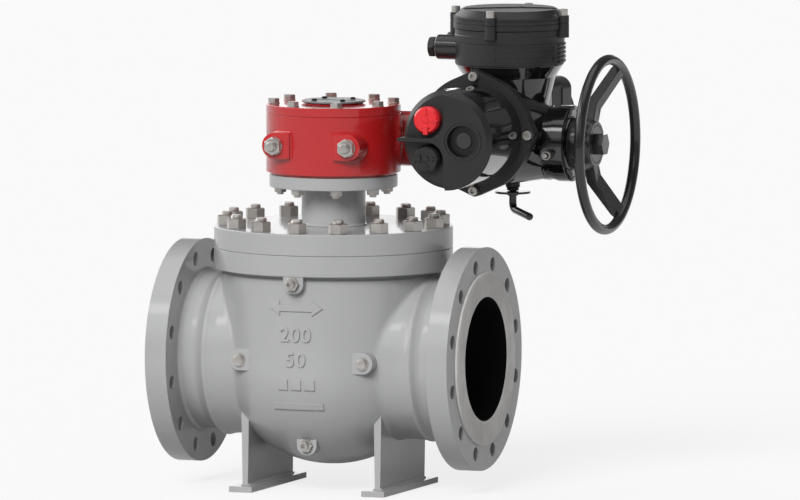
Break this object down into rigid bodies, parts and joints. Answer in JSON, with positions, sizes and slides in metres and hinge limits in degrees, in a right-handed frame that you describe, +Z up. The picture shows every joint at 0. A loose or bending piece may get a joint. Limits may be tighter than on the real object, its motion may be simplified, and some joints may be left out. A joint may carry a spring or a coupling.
{
  "type": "expanding plug valve with electric actuator",
  "caption": "Flanged quarter-turn plug valve on two feet, with a worm gearbox, an electric actuator and a side handwheel.",
  "frame": {"origin": "centre of the flat pad under the body, on the stem axis, 186 mm below the bore axis", "axes": "+X along the pipe towards the handwheel end, +Y towards the motor at the back, +Z up the stem"},
  "size_m": [0.7472, 0.5624, 0.826],
  "materials": {
    "grey_paint": "satin light grey paint over casting",
    "cast_steel": "bare machined casting",
    "steel": "satin machined steel",
    "red_paint": "gloss red paint",
    "black_paint": "satin to gloss black paint",
    "black_plastic": "satin",
    "red_plastic": "satin to gloss",
    "bronze": "machined bronze",
    "rubber": "moulded",
    "lens": "smoked sight glass"
  },
  "bodies": {
    "housing": {"body_casting": "grey_paint", "foot_left": "grey_paint", "foot_right": "grey_paint", "bonnet": "grey_paint", "yoke": "grey_paint", "vent_fitting": "steel", "drain_fitting": "steel", "side_plug_left": "steel", "side_plug_right": "steel", "packing_gland": "steel", "bonnet_stud_01": "steel", "bonnet_stud_02": "steel", "bonnet_stud_03": "steel", "bonnet_stud_04": "steel", "bonnet_stud_05": "steel", "bonnet_stud_06": "steel", "bonnet_stud_07": "steel", "bonnet_stud_08": "steel", "bonnet_stud_09": "steel", "bonnet_stud_10": "steel", "bonnet_stud_11": "steel", "bonnet_stud_12": "steel", "bonnet_stud_13": "steel", "bonnet_stud_14": "steel", "bonnet_stud_15": "steel", "bonnet_stud_16": "steel", "stop_screw_open": "steel", "stop_screw_closed": "steel", "bonnet_gasket": "rubber", "packing_set": "rubber", "upper_bushing": "bronze", "lower_bushing": "bronze", "gearbox_case": "red_paint", "gearbox_cover": "red_paint", "drive_adapter": "red_paint", "gear_case": "black_paint", "motor_housing": "black_paint", "control_cover": "black_paint", "terminal_housing": "black_paint", "terminal_cover": "black_paint", "conduit_plug": "black_plastic", "sight_glass": "lens"},
    "valve_drive": {"worm_sector": "bronze", "indicator_plate": "steel"},
    "plug_carrier": {"plug": "cast_steel", "stem": "steel"},
    "front_slip": {"slip_front": "steel", "seal_front": "rubber"},
    "rear_slip": {"slip_rear": "steel", "seal_rear": "rubber"},
    "input_shaft": {"worm_shaft": "steel", "output_column": "steel"},
    "handwheel": {"handwheel": "black_paint", "handwheel_nut": "black_paint"},
    "drive_ring": {"drive_ring": "bronze"},
    "motor_rotor": {"motor_rotor": "steel"},
    "clutch": {"clutch_dog": "steel"},
    "declutch_lever": {"declutch_lever": "black_paint"},
    "selector_red": {"selector_red": "red_plastic"},
    "selector_black": {"selector_black": "black_plastic"}
  },
  "joints": [
    {"name": "handwheel_turn", "type": "hinge", "parent": "housing", "child": "handwheel", "pos_m": [0.42, 0.104, 0.5514], "axis": [1, 0, 0], "range_deg": [0, 3600]},
    {"name": "input_turn", "type": "hinge", "parent": "housing", "child": "input_shaft", "pos_m": [0.14, 0.104, 0.5514], "axis": [1, 0, 0], "range_deg": [0, 3600]},
    {"name": "valve_turn", "type": "hinge", "parent": "housing", "child": "valve_drive", "pos_m": [0, 0, 0.5514], "axis": [0, 0, 1], "range_deg": [0, 90]},
    {"name": "plug_drop", "type": "slide", "parent": "valve_drive", "child": "plug_carrier", "axis": [0, 0, -1], "range_m": [0, 0.02]},
    {"name": "front_slip_press", "type": "slide", "parent": "plug_carrier", "child": "front_slip", "axis": [0, -0.1736, 0.9848], "range_m": [0, 0.0204]},
    {"name": "rear_slip_press", "type": "slide", "parent": "plug_carrier", "child": "rear_slip", "axis": [0, 0.1736, 0.9848], "range_m": [0, 0.0204]},
    {"name": "motor_spin", "type": "hinge", "parent": "housing", "child": "motor_rotor", "pos_m": [0.268, 0.2, 0.5874], "axis": [0, 1, 0], "continuous": true},
    {"name": "drive_ring_spin", "type": "hinge", "parent": "housing", "child": "drive_ring", "pos_m": [0.268, 0.104, 0.5514], "axis": [1, 0, 0], "continuous": true},
    {"name": "declutch_lever_turn", "type": "hinge", "parent": "housing", "child": "declutch_lever", "pos_m": [0.289, 0.104, 0.456], "axis": [0, 0, 1], "range_deg": [0, 60]},
    {"name": "clutch_shift", "type": "slide", "parent": "input_shaft", "child": "clutch", "axis": [-1, 0, 0], "range_m": [0, 0.01]},
    {"name": "selector_red_turn", "type": "hinge", "parent": "housing", "child": "selector_red", "pos_m": [0.221, -0.139, 0.6058], "axis": [0, 1, 0], "range_deg": [-90, 90]},
    {"name": "selector_black_turn", "type": "hinge", "parent": "housing", "child": "selector_black", "pos_m": [0.221, -0.139, 0.5402], "axis": [0, 1, 0], "range_deg": [-45, 45], "stiffness_Nm_per_rad": 0.2}
  ],
  "couplings": [
    {"joint": "input_turn", "follows": "handwheel_turn", "ratio": 1},
    {"joint": "valve_turn", "follows": "handwheel_turn", "ratio": 0.025},
    {"joint": "front_slip_press", "follows": "plug_drop", "ratio": 1.0154},
    {"joint": "rear_slip_press", "follows": "plug_drop", "ratio": 1.0154},
    {"joint": "drive_ring_spin", "follows": "motor_spin", "ratio": 0.038462},
    {"joint": "clutch_shift", "follows": "declutch_lever_turn", "m_per_rad": 0.0095}
  ]
}
